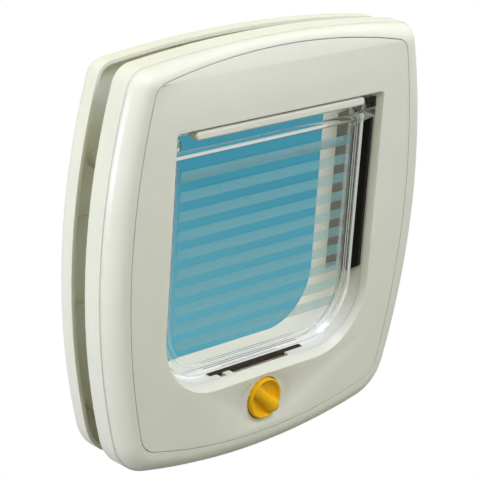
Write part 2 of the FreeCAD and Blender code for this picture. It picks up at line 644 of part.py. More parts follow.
def make_hinge_bar():
    """Bar across the top of the passage: its rounded lip hides the hinge, its fingers close the pin seats."""
    half_length = FINGER_X + FINGER_WIDTH / 2 + BAR_END
    upper = box(-half_length, half_length, BAR_FRONT_Y, BAR_REAR_Y, BAR_LOW, BAR_TOP)
    lip_bottom = BAR_LIP_HEIGHT - BAR_LIP_TOP
    lip = slab(arch_wire(BAR_LIP_FRONT_Y, BAR_LIP_HALF_LENGTH, BAR_LIP_TOP, lip_bottom, BAR_LIP_R, BAR_LIP_R),
               BAR_REAR_Y - BAR_LIP_FRONT_Y)
    lip = lip.makeChamfer(BAR_LIP_EASE, edges_at(lip, BAR_LIP_FRONT_Y))
    web = box(BAR_LIP_R - BAR_LIP_HALF_LENGTH, BAR_LIP_HALF_LENGTH - BAR_LIP_R, BAR_FRONT_Y, BAR_REAR_Y,
              BAR_LIP_TOP - BAR_LIP_R, BAR_LOW + BAR_THICK)
    low = HINGE_Z - FINGER_REACH
    left = FINGER_X - FINGER_WIDTH / 2
    right = FINGER_X + FINGER_WIDTH / 2
    stem = box(left, right, BAR_FRONT_Y, BLOCK_FRONT_Y - PIN_FIT, low, BAR_LOW + BAR_THICK)
    nose = box(left, right, BAR_FRONT_Y, FLAP_Y - PIN_R - BAR_GAP, low, HINGE_Z + FINGER_REACH)
    bar = fused([upper, lip, web] + both_sides(stem) + both_sides(nose))
    return bar.cut([rod(SMALL_SCREW_R + TURN_GAP, -FAR, FAR, x, BAR_SCREW_Z) for x in BAR_SCREWS_X])


def make_bar_screws():
    """Two small screws that hold the hinge bar."""
    screws = []
    for x in BAR_SCREWS_X:
        head = rod(SMALL_HEAD_R, BAR_FRONT_Y - SMALL_HEAD, BAR_FRONT_Y, x, BAR_SCREW_Z)
        shank = rod(SMALL_SCREW_R - PIN_FIT, BAR_FRONT_Y, BAR_FRONT_Y + SMALL_SCREW_LENGTH, x, BAR_SCREW_Z)
        screws.append(head.fuse(shank))
    return Part.makeCompound(screws)


def flap_bead(outset, width, top):
    """Raised bead on both faces of the flap, along its sides and lower edge, with open upper ends."""
    inner = flap_wire(BEAD_FRONT_Y, -outset - width, top + FAR, width)
    return ring(flap_wire(BEAD_FRONT_Y, -outset, top, width), inner, BEAD_DEPTH)


def make_flap():
    """Clear flap: pane with two raised beads, a round ridge across and hinge ears."""
    pane = slab(flap_wire(PANE_FRONT_Y), PANE)
    edge_bead = flap_bead(0.0, EDGE_BEAD, RIDGE_Z)
    inner_bead = flap_bead(INNER_BEAD_INSET, INNER_BEAD, RIDGE_Z - INNER_BEAD_DROP)
    ridge_end = FLAP_HALF_WIDTH - BEAD_RISE / 2
    ridge = cross_rod(RIDGE_R, -ridge_end, ridge_end, FLAP_Y, RIDGE_Z)
    ear = cross_rod(EAR_R, FLAP_HALF_WIDTH - EAR_ROOT, EAR_END_X, FLAP_Y, HINGE_Z)
    hole = cross_rod(PIN_R, EAR_END_X - PIN_INSIDE, EAR_END_X + PIN_OUTSIDE, FLAP_Y, HINGE_Z)
    return fused([pane, edge_bead, inner_bead, ridge] + both_sides(ear)).cut(both_sides(hole))


def make_hinge_pin():
    """Right-hand stub pin, set in the flap's ear and turning in the hinge block."""
    return cross_rod(PIN_R, EAR_END_X - PIN_INSIDE, PIN_END_X, FLAP_Y, HINGE_Z)


def make_flap_stripes():
    """Frosted stripes on the front of the pane, between the beads, a little closer together downwards."""
    half = FLAP_HALF_WIDTH - STRIPE_INSET
    window = slab(flap_wire(PANE_FRONT_Y - STRIPE_FILM, -STRIPE_INSET, RIDGE_Z), STRIPE_FILM)
    top = HINGE_Z - STRIPE_DROP
    stripes = []
    for index in range(STRIPES):
        stripe = box(-half, half, PANE_FRONT_Y - STRIPE_FILM, PANE_FRONT_Y, top - STRIPE_HEIGHT, top)
        stripes.append(stripe.common(window))
        top -= STRIPE_PITCH - index * STRIPE_CLOSING
    return Part.makeCompound(stripes)


def knob_dish():
    """Turned part of the knob: a rimmed disc with a dished front, and the collar behind it."""
    rim_r = KNOB_R - KNOB_RIM
    profile = [(0.0, COLLAR_REAR_Y), (COLLAR_R, COLLAR_REAR_Y), (COLLAR_R, KNOB_BACK_Y), (KNOB_R, KNOB_BACK_Y),
               (KNOB_R, KNOB_FRONT_Y), (rim_r, KNOB_FRONT_Y), (COLLAR_R, KNOB_FRONT_Y + KNOB_DISH),
               (0.0, KNOB_FRONT_Y + KNOB_DISH)]
    points = [Vector(r, y, LOCK_Z) for r, y in profile]
    face = Part.Face(Part.makePolygon(points + points[:1]))
    return face.revolve(Vector(0, 0, LOCK_Z), Vector(0, 1, 0), 360)


def knob_grip():
    """Broad round-ended grip that rises along its length, turned to lie across the dish."""
    floor = KNOB_FRONT_Y + KNOB_DISH + KNOB_RIM / 2
    half = GRIP_THICK / 2
    plan = slab(arch_wire(KNOB_FRONT_Y - FAR, GRIP_HALF_LENGTH, half, half, half - TURN_GAP, half - TURN_GAP), FAR)
    plan = plan.fuse(slab(arch_wire(KNOB_FRONT_Y, GRIP_HALF_LENGTH, half, half, half - TURN_GAP, half - TURN_GAP),
                          floor - KNOB_FRONT_Y)).removeSplitter()
    section = [(-GRIP_HALF_LENGTH, floor), (GRIP_HALF_LENGTH, floor),
               (GRIP_HALF_LENGTH, KNOB_FRONT_Y - GRIP_NOSE_RISE), (-GRIP_HALF_LENGTH, KNOB_FRONT_Y - GRIP_TAIL_RISE)]
    corners = [Vector(x, y, -half) for x, y in section]
    wedge = Part.Face(Part.makePolygon(corners + corners[:1])).extrude(Vector(0, 0, GRIP_THICK))
    grip = plan.common(wedge)
    crown = max(grip.Faces, key=lambda face: -face.CenterOfMass.y)
    grip = grip.makeChamfer(GRIP_EASE, crown.Edges)
    grip.rotate(Vector(0, 0, 0), Vector(0, 1, 0), GRIP_TURN)
    grip.translate(Vector(0, 0, LOCK_Z))
    return grip


def make_knob():
    """Yellow knob: dished disc, grip and collar, square shaft and rear journal."""
    half = SQUARE / 2
    shaft = box(-half, half, COLLAR_REAR_Y, REAR_CAM_Y + CAM_THICK, LOCK_Z - half, LOCK_Z + half)
    journal = rod(JOURNAL_R, REAR_CAM_Y + CAM_THICK, -BACK_PLATE / 2, 0, LOCK_Z)
    knob = fused([knob_dish(), knob_grip(), shaft, journal])
    return knob.cut(rod(LOCK_SCREW_R, -LOCK_SCREW_LENGTH - BACK_PLATE / 2, FAR, 0, LOCK_Z))


def square_hole():
    """Square hole along the whole lock axis that fits the knob's shaft."""
    half = SQUARE / 2 + SQUARE_FIT
    return box(-half, half, -FAR, FAR, LOCK_Z - half, LOCK_Z + half)


def make_cam(front_y, start):
    """Lock cam: a sector of CAM_SPAN degrees from start, counted from +X towards +Z, on a round hub."""
    ends = [math.radians(start), math.radians(start + CAM_SPAN / 2), math.radians(start + CAM_SPAN)]
    rim = [Vector(CAM_R * math.cos(a), front_y, LOCK_Z + CAM_R * math.sin(a)) for a in ends]
    centre = Vector(0, front_y, LOCK_Z)
    wire = Part.Wire([Part.Arc(*rim).toShape(), Part.LineSegment(rim[2], centre).toShape(),
                      Part.LineSegment(centre, rim[0]).toShape()])
    hub = rod(CAM_HUB_R, front_y, front_y + CAM_THICK, 0, LOCK_Z)
    return fused([slab(wire, CAM_THICK), hub]).cut(square_hole())


def make_detent_barrel():
    """Spacer between the cams, with four shallow flats for the detent leaf."""
    barrel = rod(BARREL_R, FRONT_CAM_Y + CAM_THICK, REAR_CAM_Y, 0, LOCK_Z)
    reach = BARREL_R - BARREL_FLAT
    flats = box(-reach, reach, -FAR, FAR, LOCK_Z - reach, LOCK_Z + reach)
    return barrel.common(flats).cut(square_hole())


def make_lock_screw():
    """Screw in the end of the shaft that keeps the lock in the back plate."""
    seat = -BACK_PLATE / 2
    head = rod(LOCK_SCREW_HEAD_R, seat, seat + LOCK_SCREW_HEAD, 0, LOCK_Z)
    return head.fuse(rod(LOCK_SCREW_R, seat - LOCK_SCREW_LENGTH, seat, 0, LOCK_Z))


def make_outer_frame():
    """Outside frame: bowed flange with a forward-turned lip, liner with a rain slope, pillars and ribs."""
    floor_y = REAR_Y - WALL
    block = slab(frame_wire(REAR_Y, -OUTER_INSET), -OUTER_DEPTH)
    block = block.makeFillet(REAR_ROUND, edges_at(block, REAR_Y))
    hollow = slab(frame_wire(floor_y, -OUTER_INSET - WALL), -OUTER_DEPTH)
    hollow = hollow.makeChamfer(INNER_EASE * (REAR_ROUND - WALL), edges_at(hollow, floor_y))
    liner = slab(passage_wire(LINER_FRONT_Y, TUNNEL_WALL), REAR_Y - LINER_FRONT_Y)
    drain = slab(passage_wire(OUTER_LIP_Y, TUNNEL_WALL, RAIN_SLOPE), OUTER_DEPTH)
    root_y = floor_y + WALL / 2
    rib_y = floor_y - 2 * WALL
    pillars = [rod(PILLAR_R, OUTER_LIP_Y + PILLAR_GAP, root_y, x, z) for x, z in SCREWS]
    ribs = side_ribs(OUTER_RIBS_Z, TUNNEL_WALL / 2, rib_y, root_y)
    for x in OUTER_RIBS_X:
        ribs.append(box(x, x + RIB_WALL, rib_y, root_y, PASSAGE_TOP + TUNNEL_WALL / 2, FRAME_TOP - 3 * WALL))
        ribs.append(box(x, x + RIB_WALL, rib_y, root_y, 4 * WALL - FRAME_BOTTOM, SILL_Z - TUNNEL_WALL / 2))
    body = fused([block.cut(hollow), liner, drain] + pillars + ribs)
    slope = Part.makeLoft([passage_wire(OUTER_LIP_Y), passage_wire(REAR_Y, 0.0, RAIN_SLOPE)], True, True)
    cuts = [slab(passage_wire(LINER_FRONT_Y - WALL), OUTER_LIP_Y - LINER_FRONT_Y + WALL), slope]
    cuts += both_sides(rear_side_pile())
    cuts += [rod(SCREW_R + PIN_FIT, OUTER_LIP_Y, floor_y - WALL / 2, x, z) for x, z in SCREWS]
    return body.cut(cuts).removeSplitter()


def make_fixing_screws():
    """Four long screws from the inside frame, through the door, into the outside frame's pillars."""
    screws = []
    for x, z in SCREWS:
        head = rod(SCREW_HEAD_R, BOSS_FRONT_Y - SCREW_HEAD, BOSS_FRONT_Y, x, z)
        screws.append(head.fuse(rod(SCREW_R, BOSS_FRONT_Y, REAR_Y - 2 * WALL, x, z)))
    return Part.makeCompound(screws)


def build():
    """Every piece by its node name."""
    return {
        "inner_base": make_inner_base(),
        "door_sleeve": make_door_sleeve(),
        "inner_tunnel": make_inner_tunnel(),
        "inner_rim": make_inner_rim(),
        "inner_cover": make_inner_cover(),
        "hinge_bar": make_hinge_bar(),
        "hinge_bar_screws": make_bar_screws(),
        "side_pile_right": front_side_pile(),
        "side_pile_left": mirrored(front_side_pile()),
        "sill_pile": make_sill_pile(),
        "flap": make_flap(),
        "flap_stripes": make_flap_stripes(),
        "hinge_pin_right": make_hinge_pin(),
        "hinge_pin_left": mirrored(make_hinge_pin()),
        "lock_knob": make_knob(),
        "front_cam": make_cam(FRONT_CAM_Y, CAM_START),
        "rear_cam": make_cam(REAR_CAM_Y, CAM_START + CAM_STEP),
        "detent_barrel": make_detent_barrel(),
        "detent_leaf": make_detent_leaf(),
        "lock_screw": make_lock_screw(),
        "outer_frame": make_outer_frame(),
        "rear_pile_right": rear_side_pile(),
        "rear_pile_left": mirrored(rear_side_pile()),
        "fixing_screws": make_fixing_screws(),
    }


os.makedirs("parts", exist_ok=True)
for node, shape in build().items():
    shape.exportStep("parts/%s.step" % node)
    print(node, "solids", len(shape.Solids), "valid", shape.isValid(), "volume", round(shape.Volume, 1))
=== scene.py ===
"""Looks of a cat flap: moulded white frames, a clear striped flap, pile strips and a yellow rotary lock."""

import json
import math
import random

import bmesh
import bpy
from bpy.props import FloatProperty, FloatVectorProperty, IntProperty, PointerProperty
from mathutils import Matrix, Vector

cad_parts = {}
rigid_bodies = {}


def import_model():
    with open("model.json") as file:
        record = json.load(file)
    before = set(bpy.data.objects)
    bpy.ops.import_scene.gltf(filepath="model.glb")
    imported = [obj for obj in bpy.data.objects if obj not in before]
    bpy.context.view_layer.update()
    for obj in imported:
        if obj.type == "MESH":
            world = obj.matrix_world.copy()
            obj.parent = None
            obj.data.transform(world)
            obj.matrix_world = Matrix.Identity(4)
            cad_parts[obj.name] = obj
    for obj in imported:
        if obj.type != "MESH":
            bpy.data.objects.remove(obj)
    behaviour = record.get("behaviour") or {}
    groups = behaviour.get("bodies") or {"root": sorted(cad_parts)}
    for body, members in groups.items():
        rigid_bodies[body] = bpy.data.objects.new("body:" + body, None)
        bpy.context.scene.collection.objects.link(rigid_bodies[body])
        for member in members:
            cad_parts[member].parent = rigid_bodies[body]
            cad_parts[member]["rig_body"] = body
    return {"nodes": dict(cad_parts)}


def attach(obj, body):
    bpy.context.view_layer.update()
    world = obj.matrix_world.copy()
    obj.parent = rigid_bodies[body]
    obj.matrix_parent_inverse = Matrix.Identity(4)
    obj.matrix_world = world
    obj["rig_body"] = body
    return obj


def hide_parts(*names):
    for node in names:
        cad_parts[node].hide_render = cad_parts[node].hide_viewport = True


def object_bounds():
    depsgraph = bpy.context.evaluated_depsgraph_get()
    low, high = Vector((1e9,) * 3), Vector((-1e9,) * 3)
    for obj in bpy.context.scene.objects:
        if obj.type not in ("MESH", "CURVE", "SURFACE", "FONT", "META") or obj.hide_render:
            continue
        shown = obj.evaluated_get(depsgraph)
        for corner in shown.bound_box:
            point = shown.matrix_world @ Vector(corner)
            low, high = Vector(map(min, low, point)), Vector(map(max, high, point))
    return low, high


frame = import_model()
NODES = frame["nodes"]
CAD_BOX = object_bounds()

bl_info = {
    "name": "Cat Flap",
    "version": (1, 0, 0),
    "blender": (4, 5, 0),
    "location": "View3D > Sidebar > Cat Flap",
    "description": "Finishes a cat flap's frames, clear flap, pile strips and lock",
    "category": "Object",
}

MM = 0.001

# Corners of a CAD mesh this close are one corner, and faces that meet at less than this angle are one face
SAME_CORNER = 0.002 * MM
SAME_FACE = math.radians(0.6)

# Places of the lock in the CAD frame, which the sculpted knob keeps to
COVER_FACE = -18.4 * MM
LOCK_AXIS = -82.85 * MM
COLLAR_RADIUS = 4.1 * MM
COLLAR_REAR = -13.1 * MM
DISC_BACK = -15.4 * MM
DISC_RADIUS = 11.3 * MM

# The knob's lip and dish
DISC_STEPS = 64
LIP_WIDTH = 1.4 * MM
LIP_DEPTH = 0.8 * MM
LIP_CREST = 0.45 * MM
DISH_STEPS = 6
DISH_POLE = 0.02 * MM
KNOB_CREASE = math.radians(50.0)

# The knob's grip, along which places run from -1 at its tail to 1 at its nose
GRIP_TAIL_DIP = 0.1 * MM
GRIP_NOSE_RISE = 3.3 * MM
GRIP_RISE_POWER = 1.4
GRIP_FOOT = 0.4 * MM
GRIP_FLARE = 0.25
GRIP_SECTIONS = 30
GRIP_SECTION_STEPS = 16
NOSE_START = 0.62
NOSE_END_WIDTH = 0.05
NOSE_END_HEIGHT = 0.55

# A tuft's sides, its foot's radius as a share of the pitch, and its length and lift as shares of its height
TUFT_SIDES = 3
TUFT_FOOT = 0.6
TUFT_LENGTH = 1.2
TUFT_LIFT = 0.4

# Depth of a moulded surface's fine grain
FINE_GRAIN = 0.05 * MM

# The camera, found by fitting the frames' outlines to their edges in the photograph
CAMERA_PLACE = (-0.6882, -0.6654, 0.34155)
CAMERA_FORWARD = (0.6685, 0.6591, -0.3446)
CAMERA_DOWN = (-0.198, -0.2889, -0.9367)
SENSOR = 36.0
LENS = 146.9
SHIFT = (0.0172, 0.0358)

FLOOR_REACH = 6.0
WHITE = (1.0, 1.0, 1.0)
PAPER = (0.16, 0.16, 0.16)
FILL = (1.0, 1.0, 0.70)
FILL_STRENGTH = 0.79

# What a ray through the clear flap sees: pale walls, and a blue patch that fades from near to far
PALE_WALL = (0.7, 0.71, 0.68)
PALE_FLOOR = (0.55, 0.56, 0.52)
NEAR_BLUE = (0.064, 0.35, 0.455)
FAR_BLUE = (0.0, 0.245, 0.355)

# Each lamp's name, place, aim, size, power and colour
LAMPS = (("top_lamp", (0.1, -0.45, 0.65), (0.0, 0.0, 0.0), 0.35, 4.0, (0.70, 0.73, 1.0)),
         ("side_lamp", (-0.9, 0.03, 0.05), (0.0, 0.006, 0.0), 0.12, 4.4, (0.78, 0.81, 1.0)))

SIDE_STRIPS = (("right", (-1.0, 0.0, 0.0)), ("left", (1.0, 0.0, 0.0)))
WHITE_SHELLS = ("inner_base", "door_sleeve", "inner_tunnel", "inner_cover", "hinge_bar", "outer_frame")
STEEL_NODES = ("hinge_pin_right", "hinge_pin_left", "hinge_bar_screws", "lock_screw", "fixing_screws",
               "detent_leaf")
CAM_NODES = ("front_cam", "rear_cam", "detent_barrel")


class FlapSizes(bpy.types.PropertyGroup):
    """Sizes that the finishing touches use."""

    edge: FloatProperty(name="Moulded edge", description="Radius on the white shells' outer edges",
                        default=0.35 * MM, min=0.0, unit="LENGTH")
    clear_edge: FloatProperty(name="Flap edge", description="Radius on the clear flap's edges",
                              default=0.3 * MM, min=0.0, unit="LENGTH")
    sharp_angle: FloatProperty(name="Sharp angle", description="Corners sharper than this are rounded",
                               default=math.radians(32.0), subtype="ANGLE")
    edge_segments: IntProperty(name="Edge segments", description="Steps round an edge", default=2, min=1)
    rim_angle: FloatProperty(name="Rim angle",
                             description="Corners of the front rim sharper than this are rounded",
                             default=math.radians(45.0), subtype="ANGLE")
    weld: FloatProperty(name="Weld", description="Corners closer than this are joined in the front rim",
                        default=0.35 * MM, min=0.0, unit="LENGTH")
    knob_radius: FloatProperty(name="Knob radius", description="Radius of the knob's disc",
                               default=10.9 * MM, min=8.0 * MM, unit="LENGTH")
    knob_proud: FloatProperty(name="Knob height", description="How far its lip stands in front of the cover",
                              default=1.0 * MM, min=0.0, unit="LENGTH")
    knob_dish: FloatProperty(name="Knob dish", description="Depth of the disc's hollow below its lip",
                             default=3.2 * MM, min=0.0, unit="LENGTH")
    grip_length: FloatProperty(name="Grip reach", description="Reach of the grip from the knob's axis",
                               default=11.0 * MM, min=6.0 * MM, unit="LENGTH")
    grip_tail: FloatProperty(name="Grip tail", description="Half width of the grip at its low end",
                             default=4.2 * MM, min=1.0 * MM, unit="LENGTH")
    grip_waist: FloatProperty(name="Grip waist", description="Half width of the grip at its middle",
                              default=3.0 * MM, min=1.0 * MM, unit="LENGTH")
    grip_nose: FloatProperty(name="Grip nose", description="Half width of the grip at its high end",
                             default=4.5 * MM, min=1.0 * MM, unit="LENGTH")
    grip_turn: FloatProperty(name="Grip turn", description="How far the grip lies turned from level",
                             default=math.radians(42.0), subtype="ANGLE")
    tuft_pitch: FloatProperty(name="Tuft pitch", description="Distance between the tufts of a pile strip",
                              default=0.8 * MM, min=0.3 * MM, unit="LENGTH")
    tuft_height: FloatProperty(name="Tuft height", description="How far a tuft stands out of its strip",
                               default=0.5 * MM, min=0.0, max=0.8 * MM, unit="LENGTH")
    tuft_lean: FloatProperty(name="Tuft lean", description="Largest angle that a tuft leans to one side",
                             default=math.radians(24.0), subtype="ANGLE")
    tuft_seed: IntProperty(name="Tuft seed", description="Start of the tufts' random lean", default=5)


class FlapColours(bpy.types.PropertyGroup):
    """Colours of the finishes, as linear values."""

    white: FloatVectorProperty(name="White plastic", description="Moulded frames", subtype="COLOR", size=3,
                               default=(0.80, 0.80, 0.71))
    clear: FloatVectorProperty(name="Clear plastic", description="Flap", subtype="COLOR", size=3,
                               default=(0.99, 0.995, 0.99))
    stripe: FloatVectorProperty(name="Frosted stripe", description="Stripes on the flap", subtype="COLOR",
                                size=3, default=(0.38, 0.67, 0.65))
    black: FloatVectorProperty(name="Black pile", description="Strips beside the flap", subtype="COLOR",
                               size=3, default=(0.006, 0.005, 0.003))
    brown: FloatVectorProperty(name="Brown pile", description="Strip on the sill", subtype="COLOR", size=3,
                               default=(0.045, 0.03, 0.017))
    grey: FloatVectorProperty(name="Grey pile", description="Strips in the outside frame", subtype="COLOR",
                              size=3, default=(0.22, 0.22, 0.16))
    yellow: FloatVectorProperty(name="Yellow plastic", description="Lock knob", subtype="COLOR", size=3,
                                default=(0.90, 0.50, 0.002))
    # The cams are yellow like the knob; this darker, browner colour is painted shade for them seen deep in
    # their slots.
    amber: FloatVectorProperty(name="Cam plastic", description="Lock cams", subtype="COLOR", size=3,
                               default=(0.55, 0.22, 0.02))
    steel: FloatVectorProperty(name="Steel", description="Pins, screws and spring", subtype="COLOR", size=3,
                               default=(0.55, 0.54, 0.52))


def sizes():
    """The sizes group of this scene."""
    return bpy.context.scene.flap_sizes


def colours():
    """The colours group of this scene."""
    return bpy.context.scene.flap_colours


class Wire:
    """A socket of a material, to be used in Python sums."""

    def __init__(self, finish, socket):
        self.finish = finish
        self.socket = socket

    def sum(self, operation, *values):
        """One Math node on these values."""
        return self.finish.node("ShaderNodeMath", {"operation": operation}, *values)

    def __add__(self, other):
        return self.sum("ADD", self, other)

    __radd__ = __add__

    def __sub__(self, other):
        return self.sum("SUBTRACT", self, other)

    def __rsub__(self, other):
        return self.sum("SUBTRACT", other, self)

    def __mul__(self, other):
        return self.sum("MULTIPLY", self, other)

    __rmul__ = __mul__

    def between(self, low, high):
        """0 below low, 1 above high and a straight ramp between them."""
        return self.finish.node("ShaderNodeMapRange", {"clamp": True}, self, low, high, 0.0, 1.0)


class Finish:
    """A material or a world and the few calls that build its nodes."""

    def __init__(self, owner, out="ShaderNodeOutputMaterial"):
        owner.use_nodes = True
        self.owner = owner
        self.tree = owner.node_tree
        self.tree.nodes.clear()
        self.out = self.tree.nodes.new(out)

    def put(self, socket, value):
        """Links or sets one input socket."""
        if isinstance(value, Wire):
            self.tree.links.new(value.socket, socket)
        elif value is not None:
            wants_alpha = hasattr(socket.default_value, "__len__") and len(socket.default_value) == 4
            if wants_alpha and hasattr(value, "__len__") and len(value) == 3:
                value = (*value, 1.0)
            socket.default_value = value

    def node(self, kind, settings=None, *values, output=0, **named):
        """A node with its settings made first, then its inputs by place or by name; returns one output."""
        new = self.tree.nodes.new(kind)
        for name, value in (settings or {}).items():
            setattr(new, name, value)
        for socket, value in zip(new.inputs, values):
            self.put(socket, value)
        for name, value in named.items():
            self.put(new.inputs[name.replace("_", " ")], value)
        return Wire(self, new.outputs[output])

    def place(self):
        """Object coordinates."""
        return self.node("ShaderNodeTexCoord", output="Object")

    def noise(self, scale, detail=2.0, stretch=None):
        """Fractal noise from 0 to 1 in object space, with scale in bumps a metre."""
        vector = self.place()
        if stretch:
            vector = self.node("ShaderNodeMapping", None, Vector=vector, Scale=stretch)
        return self.node("ShaderNodeTexNoise", None, Vector=vector, Scale=scale, Detail=detail)

    def mix(self, factor, first, second):
        """Colour between two colours."""
        new = self.tree.nodes.new("ShaderNodeMix")
        new.data_type = "RGBA"
        self.put(new.inputs[0], factor)
        self.put(new.inputs[6], first)
        self.put(new.inputs[7], second)
        return Wire(self, new.outputs[2])

    def bump(self, height, strength, distance):
        """Normal from a height."""
        return self.node("ShaderNodeBump", None, Height=height, Strength=strength, Distance=distance)

    def ray(self, kind):
        """1 for rays of this kind, as the Light Path node names them."""
        return self.node("ShaderNodeLightPath", output="Is " + kind + " Ray")

    def surface(self, shader):
        """Sends a shader to the output and returns the finished material or world."""
        self.tree.links.new(shader.socket, self.out.inputs["Surface"])
        return self.owner


def new_finish(name):
    """The finish of a new material."""
    return Finish(bpy.data.materials.new(name))


def darker(colour, share):
    """The colour with this share of its light."""
    return tuple(channel * share for channel in colour)


def white_plastic():
    """Satin moulded white: faint mottling, fine grain and slightly uneven gloss."""
    finish = new_finish("white_plastic")
    base = tuple(colours().white)
    cloud = finish.noise(38.0, detail=4.0)
    colour = finish.mix(cloud.between(0.35, 0.7), darker(base, 0.965), base)
    grain = finish.noise(2600.0)
    rough = 0.34 + 0.12 * finish.noise(210.0, detail=3.0)
    shader = finish.node("ShaderNodeBsdfPrincipled", None, Base_Color=colour, Roughness=rough, IOR=1.5,
                         Normal=finish.bump(grain, 0.06, FINE_GRAIN), Subsurface_Weight=0.4,
                         Subsurface_Radius=(1.0, 0.95, 0.8), Subsurface_Scale=4.0 * MM)
    return finish.surface(shader)


def clear_plastic():
    """Clear polished flap: light from lamps passes straight through."""
    finish = new_finish("clear_plastic")
    scuff = finish.noise(160.0, detail=5.0).between(0.62, 0.8)
    glass = finish.node("ShaderNodeBsdfPrincipled", None, Base_Color=tuple(colours().clear),
                        Roughness=0.015 + 0.05 * scuff, IOR=1.49, Transmission_Weight=1.0)
    open_way = finish.node("ShaderNodeBsdfTransparent", None, Color=tuple(colours().clear))
    return finish.surface(finish.node("ShaderNodeMixShader", None, finish.ray("Shadow"), glass, open_way))


def frosted_stripe():
    """Thin frosting that lets about half of the view through."""
    finish = new_finish("frosted_stripe")
    base = tuple(colours().stripe)
    speck = finish.noise(900.0, detail=3.0)
    colour = finish.mix(speck, darker(base, 0.9), base)
    shader = finish.node("ShaderNodeBsdfPrincipled", None, Base_Color=colour, Roughness=0.62,
                         Alpha=0.22 + 0.08 * speck, Normal=finish.bump(speck, 0.2, FINE_GRAIN))
    return finish.surface(shader)


def pile(name, base):
    """Short brushed pile."""
    finish = new_finish(name)
    hair = finish.noise(1500.0, detail=3.0)
    colour = finish.mix(hair.between(0.3, 0.75), darker(base, 0.55), darker(base, 1.5))
    shader = finish.node("ShaderNodeBsdfPrincipled", None, Base_Color=colour, Roughness=0.93,
                         Normal=finish.bump(finish.noise(2400.0), 0.6, 0.2 * MM))
    return finish.surface(shader)


def yellow_plastic():
    """Satin moulded yellow with a faint uneven gloss."""
    finish = new_finish("yellow_plastic")
    base = tuple(colours().yellow)
    cloud = finish.noise(320.0, detail=3.0)
    colour = finish.mix(cloud.between(0.3, 0.7), darker(base, 0.9), base)
    shader = finish.node("ShaderNodeBsdfPrincipled", None, Base_Color=colour,
                         Roughness=0.34 + 0.12 * finish.noise(900.0), Specular_IOR_Level=0.25,
                         Normal=finish.bump(finish.noise(1800.0), 0.05, FINE_GRAIN))
    return finish.surface(shader)


def cam_plastic():
    """Matt plastic of the hidden lock parts, coloured a darker, browner copy of the knob's yellow: painted
    shade for the yellow cams seen deep in their slots.
    """
    finish = new_finish("cam_plastic")
    base = tuple(colours().amber)
    cloud = finish.noise(400.0, detail=3.0)
    colour = finish.mix(cloud, darker(base, 0.85), base)
    shader = finish.node("ShaderNodeBsdfPrincipled", None, Base_Color=colour, Roughness=0.45 + 0.15 * cloud)
    return finish.surface(shader)


def drawn_steel():
    """Zinc-plated and drawn steel with fine lines."""
    finish = new_finish("drawn_steel")
    base = tuple(colours().steel)
    line = finish.noise(900.0, detail=3.0, stretch=(0.2, 3.0, 3.0))
    colour = finish.mix(line, darker(base, 0.8), base)
    shader = finish.node("ShaderNodeBsdfPrincipled", None, Base_Color=colour, Metallic=1.0,
                         Roughness=0.26 + 0.16 * line)
    return finish.surface(shader)


def dress(node, material):
    """Gives one material to a carried-over CAD node."""
    mesh = NODES[node].data
    mesh.materials.clear()
    mesh.materials.append(material)


def cad_form(node):
    """The node's mesh as editable faces, with its doubled corners joined."""
    form = bmesh.new()
    form.from_mesh(NODES[node].data)
    bmesh.ops.remove_doubles(form, verts=form.verts, dist=SAME_CORNER)
    return form


def merged_form(node):
    """The node's form with its triangles joined where they are flat."""
    form = cad_form(node)
    bmesh.ops.dissolve_limit(form, angle_limit=SAME_FACE, verts=form.verts, edges=form.edges,
                             delimit={"NORMAL"})
    return form


def welded_form(node, length, sharp):
    """The node's form with its short sharp edges drawn together, as they would hold back its rounding."""
    form = cad_form(node)
    short = {edge for edge in form.edges
             if edge.is_manifold and edge.calc_length() < length and edge.calc_face_angle() > sharp}
    ends = [vert for vert in form.verts if short.intersection(vert.link_edges)]
    bmesh.ops.remove_doubles(form, verts=ends, dist=length)
    return form


def stands_for(node, name, form, material):
    """A new piece from the form, which rides with the node's body and stands for the node."""
    mesh = bpy.data.meshes.new(name)
    form.to_mesh(mesh)
    form.free()
    mesh.materials.append(material)
    piece = bpy.data.objects.new(name, mesh)
    bpy.context.scene.collection.objects.link(piece)
    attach(piece, NODES[node]["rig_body"])
    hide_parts(node)
    return piece


def soften(form, crease):
    """Shades the form smooth, but for the edges that are sharper than the crease angle."""
    for face in form.faces:
        face.smooth = True
    for edge in form.edges:
        edge.smooth = edge.calc_face_angle(math.pi) < crease


def rounded(node, name, form, material, radius, sharp):
    """A new piece that stands for the node, with the sharp corners of its form rounded."""
    soften(form, sharp)
    piece = stands_for(node, name, form, material)
    if radius > 0.0:
        bevel = piece.modifiers.new("edge", "BEVEL")
        bevel.width = radius
        bevel.segments = sizes().edge_segments
        bevel.limit_method = "ANGLE"
        bevel.angle_limit = sharp
        bevel.harden_normals = True
        bevel.use_clamp_overlap = True
        bevel.miter_outer = "MITER_ARC"


